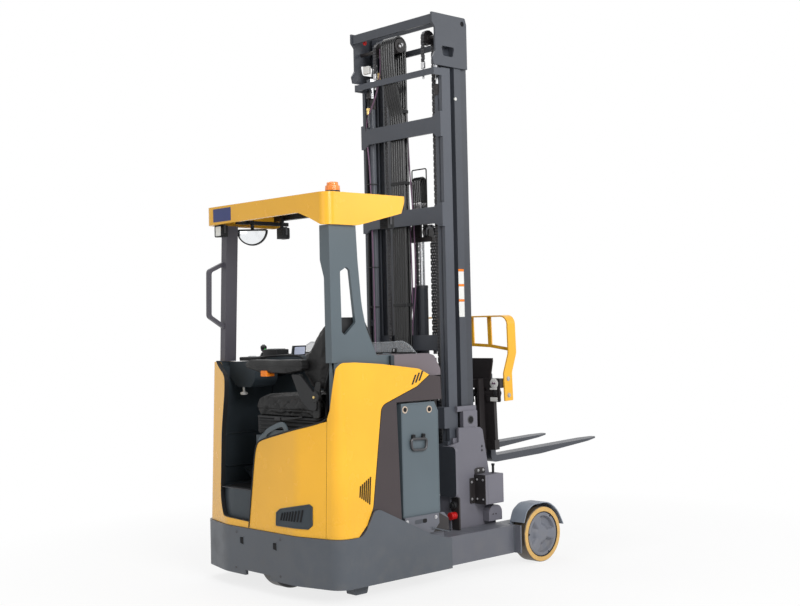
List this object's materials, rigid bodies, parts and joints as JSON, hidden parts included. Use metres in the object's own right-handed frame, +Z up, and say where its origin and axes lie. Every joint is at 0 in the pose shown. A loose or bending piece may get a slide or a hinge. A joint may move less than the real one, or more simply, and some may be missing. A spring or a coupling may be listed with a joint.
{
  "type": "reach truck",
  "caption": "Seated reach truck with a side-facing operator seat under a guard, a nested sliding mast with forks, and straddle legs on load wheels.",
  "frame": {"origin": "on the floor, under the middle of the bounding box", "axes": "+X forward to the fork tips, +Y to the left of the truck, +Z up"},
  "size_m": [2.78, 1.27, 3.42],
  "materials": {
    "body_yellow": "gloss",
    "guard_yellow": "gloss",
    "chassis_grey": "satin",
    "pillar_grey": "satin",
    "battery_grey": "satin",
    "cover_brown": "satin",
    "mast_grey": "satin",
    "fork_black": "satin",
    "cab_black": "matte",
    "trim_black": "matte",
    "seat_black": "matte",
    "tread": "satin",
    "hub_grey": "satin",
    "chain_steel": "satin",
    "hose_black": "matte",
    "rod_chrome": "polished",
    "beacon_orange": "gloss",
    "mirror_glass": "polished",
    "clear_plastic": "clear"
  },
  "bodies": {
    "truck": {"chassis_skirt": "chassis_grey", "straddle_legs": "chassis_grey", "battery": "battery_grey", "mudguards": "chassis_grey", "rear_panel": "body_yellow", "flank_right": "body_yellow", "flank_left": "body_yellow", "battery_covers": "cover_brown", "cab_floor": "cab_black", "bulkhead": "cab_black", "seat_base": "trim_black", "seat_cushion": "seat_black", "seat_back": "seat_black", "armrest": "seat_black", "left_console": "trim_black", "hand_console": "trim_black", "pillar_left": "pillar_grey", "pillar_right": "pillar_grey", "roof_rim": "body_yellow", "roof_bars": "cab_black", "beacon": "beacon_orange", "work_lamps": "trim_black", "mirror": "mirror_glass", "battery_hood": "cover_brown", "clear_screen": "clear_plastic"},
    "load_wheel_right": {"load_tyre_right": "tread", "load_hub_right": "hub_grey"},
    "load_wheel_left": {"load_tyre_left": "tread", "load_hub_left": "hub_grey"},
    "drive_unit": {"drive_unit": "hub_grey"},
    "drive_wheel": {"drive_tyre": "tread"},
    "steering_wheel": {"steering_wheel": "trim_black"},
    "reach_carriage": {"carriage_frame": "chassis_grey", "mast_outer": "mast_grey"},
    "middle_mast": {"mast_middle": "mast_grey", "mast_chains": "chain_steel", "lift_rods": "rod_chrome", "mast_hoses": "hose_black"},
    "inner_mast": {"mast_inner": "mast_grey"},
    "free_lift": {"free_lift_rod": "rod_chrome"},
    "lift_carriage": {"lift_carriage": "mast_grey"},
    "tilt_frame": {"tilt_frame": "fork_black"},
    "side_shifter": {"fork_frame": "fork_black", "forks": "fork_black", "load_backrest": "guard_yellow"}
  },
  "joints": [
    {"name": "load_wheel_right_roll", "type": "hinge", "parent": "truck", "child": "load_wheel_right", "pos_m": [0.34, -0.583, 0.172], "axis": [0, 1, 0], "continuous": true},
    {"name": "load_wheel_left_roll", "type": "hinge", "parent": "truck", "child": "load_wheel_left", "pos_m": [0.34, 0.583, 0.172], "axis": [0, 1, 0], "continuous": true},
    {"name": "drive_steer", "type": "hinge", "parent": "truck", "child": "drive_unit", "pos_m": [-1.18, 0, 0.338], "axis": [0, 0, 1], "range_deg": [-90, 90]},
    {"name": "drive_roll", "type": "hinge", "parent": "drive_unit", "child": "drive_wheel", "pos_m": [-1.18, 0, 0.172], "axis": [0, 1, 0], "continuous": true},
    {"name": "steering_turn", "type": "hinge", "parent": "truck", "child": "steering_wheel", "pos_m": [-1.1, 0.425, 1.31], "axis": [0, 0, 1], "continuous": true},
    {"name": "reach", "type": "slide", "parent": "truck", "child": "reach_carriage", "axis": [1, 0, 0], "range_m": [-0.24, 0.28]},
    {"name": "middle_lift", "type": "slide", "parent": "reach_carriage", "child": "middle_mast", "axis": [0, 0, 1], "range_m": [0, 2.35]},
    {"name": "inner_lift", "type": "slide", "parent": "middle_mast", "child": "inner_mast", "axis": [0, 0, 1], "range_m": [0, 2.35]},
    {"name": "carriage_lift", "type": "slide", "parent": "inner_mast", "child": "lift_carriage", "axis": [0, 0, 1], "range_m": [-0.55, 1.85]},
    {"name": "free_lift_extend", "type": "slide", "parent": "inner_mast", "child": "free_lift", "axis": [0, 0, 1], "range_m": [-0.275, 0.925]},
    {"name": "fork_tilt", "type": "hinge", "parent": "lift_carriage", "child": "tilt_frame", "pos_m": [0.14, 0, 0.7], "axis": [0, 1, 0], "range_deg": [-2, 4]},
    {"name": "side_shift", "type": "slide", "parent": "tilt_frame", "child": "side_shifter", "axis": [0, 1, 0], "range_m": [-0.06, 0.06]}
  ],
  "couplings": [
    {"joint": "inner_lift", "follows": "middle_lift", "ratio": 1},
    {"joint": "free_lift_extend", "follows": "carriage_lift", "ratio": 0.5}
  ]
}
